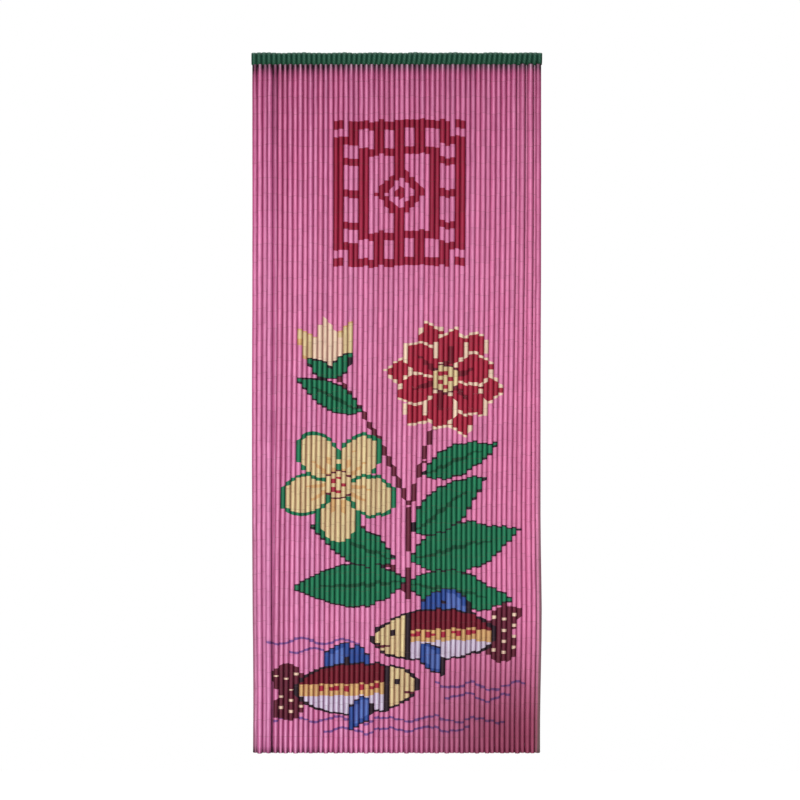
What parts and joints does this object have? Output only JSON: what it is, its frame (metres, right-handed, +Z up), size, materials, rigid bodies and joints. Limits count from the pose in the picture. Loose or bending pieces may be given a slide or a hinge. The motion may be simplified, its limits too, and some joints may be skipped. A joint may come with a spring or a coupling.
{
  "type": "bead curtain",
  "caption": "Door curtain of close-set painted bead strands hanging from a heading bar wound with green cord.",
  "frame": {"origin": "middle of the heading's top edge, where the curtain is hung", "axes": "+Z up, X along the heading, the painted front facing -Y"},
  "size_m": [0.8, 0.0293, 1.9301],
  "materials": {
    "heading_cord": "thick wound cord, dull",
    "painted_beads": "wood tubes under satin paint"
  },
  "bodies": {
    "root": {"heading": "heading_cord", "strands": "painted_beads"}
  },
  "joints": []
}
